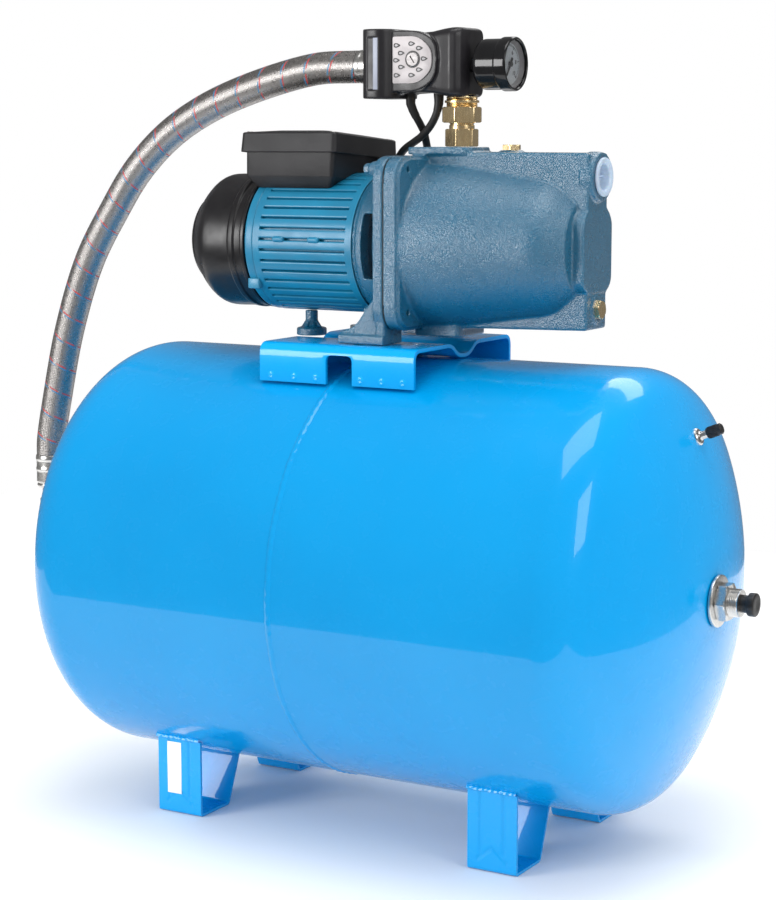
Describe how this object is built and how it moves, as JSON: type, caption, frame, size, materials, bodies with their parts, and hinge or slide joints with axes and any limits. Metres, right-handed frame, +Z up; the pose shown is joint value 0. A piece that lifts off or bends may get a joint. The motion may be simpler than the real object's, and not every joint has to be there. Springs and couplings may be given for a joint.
{
  "type": "shallow well jet pump",
  "caption": "Domestic water pressure set: jet pump and motor on the platform of a horizontal membrane tank, with pressure switch, gauge and braided hose.",
  "frame": {"origin": "on the floor, under the middle of the set without its hose and leads", "axes": "+X along the shaft and the tank towards the suction port, -Y the front, +Z up"},
  "size_m": [0.8887, 0.6254, 0.8335],
  "materials": {
    "tank_paint": "glossy stoved enamel",
    "membrane_rubber": "matt moulded rubber",
    "zinc_steel": "bright zinc plate",
    "yellow_brass": "machined and cast brass",
    "black_plastic": "moulded",
    "motor_paint": "satin paint on die-cast aluminium",
    "black_gloss": "semi-gloss black paint on pressed steel",
    "black_satin": "fine texture",
    "copper_winding": "varnished winding and laminations",
    "cast_paint": "hammered gloss paint on cast iron",
    "ceramic_white": "plain",
    "cap_plastic": "milky push-in cap",
    "silver_plate": "brushed",
    "pointer_black": "plain",
    "lens_glass": "clear",
    "braid_steel": "woven wire with coloured tracer strands",
    "cable_rubber": "smooth sheath"
  },
  "bodies": {
    "set": {"tank_shell": "tank_paint", "bladder": "membrane_rubber", "tank_flange": "zinc_steel", "flange_elbow": "yellow_brass", "end_washer": "zinc_steel", "end_nut": "zinc_steel", "end_nipple": "zinc_steel", "end_plug": "black_plastic", "air_valve": "yellow_brass", "leg_front_left": "tank_paint", "leg_rear_left": "tank_paint", "leg_front_right": "tank_paint", "leg_rear_right": "tank_paint", "pump_platform": "tank_paint", "motor_housing": "motor_paint", "end_shield": "motor_paint", "fan_cover": "black_gloss", "stator": "copper_winding", "rear_bearing": "zinc_steel", "front_bearing": "zinc_steel", "motor_bracket": "cast_paint", "bracket_bolt_front": "zinc_steel", "bracket_bolt_rear": "zinc_steel", "support_foot": "cast_paint", "pump_body": "cast_paint", "body_gasket": "membrane_rubber", "diffuser": "black_plastic", "venturi": "black_plastic", "nozzle": "yellow_brass", "seal_seat": "ceramic_white", "box_base": "black_satin", "box_lid": "black_satin", "capacitor": "ceramic_white", "terminal_block": "ceramic_white", "union_fitting": "yellow_brass", "switch_manifold": "yellow_brass", "switch_body": "black_plastic", "switch_plate": "silver_plate", "gauge_case": "black_plastic", "gauge_dial": "ceramic_white", "gauge_lens": "lens_glass", "hose_end_upper": "zinc_steel", "hose_end_lower": "zinc_steel", "hose": "braid_steel", "motor_lead": "cable_rubber", "mains_lead": "cable_rubber", "mains_coil": "cable_rubber", "mains_plug": "cable_rubber"},
    "rotor": {"shaft": "zinc_steel", "rotor_core": "zinc_steel", "fan": "black_plastic", "impeller": "yellow_brass", "seal_head": "membrane_rubber"},
    "pointer": {"gauge_pointer": "pointer_black"},
    "pressure_screw": {"adjust_screw": "zinc_steel"},
    "priming": {"priming_plug": "yellow_brass"},
    "drain": {"drain_plug": "yellow_brass"},
    "suction": {"suction_cap": "cap_plastic"},
    "valve_cap": {"air_valve_cap": "black_plastic"},
    "nut": {"union_nut": "yellow_brass"}
  },
  "joints": [
    {"name": "rotor_spin", "type": "hinge", "parent": "set", "child": "rotor", "pos_m": [0.0325, 0, 0.614], "axis": [1, 0, 0], "continuous": true},
    {"name": "gauge_pointer_turn", "type": "hinge", "parent": "set", "child": "pointer", "pos_m": [0.17, 0, 0.7965], "axis": [-1, 0, 0], "range_deg": [0, 240]},
    {"name": "pressure_screw_turn", "type": "hinge", "parent": "set", "child": "pressure_screw", "pos_m": [0.0765, -0.026, 0.802], "axis": [0, -1, 0], "continuous": true},
    {"name": "priming_plug_lift", "type": "slide", "parent": "set", "child": "priming", "axis": [0, 0, 1], "range_m": [0, 0.014]},
    {"name": "drain_plug_out", "type": "slide", "parent": "set", "child": "drain", "axis": [1, 0, 0], "range_m": [0, 0.014]},
    {"name": "suction_cap_out", "type": "slide", "parent": "set", "child": "suction", "axis": [1, 0, 0], "range_m": [0, 0.02]},
    {"name": "valve_cap_out", "type": "slide", "parent": "set", "child": "valve_cap", "axis": [0.9213, 0.053, 0.3851], "range_m": [0, 0.01]},
    {"name": "union_nut_turn", "type": "hinge", "parent": "set", "child": "nut", "pos_m": [0.1175, 0, 0.746], "axis": [0, 0, 1], "continuous": true}
  ]
}
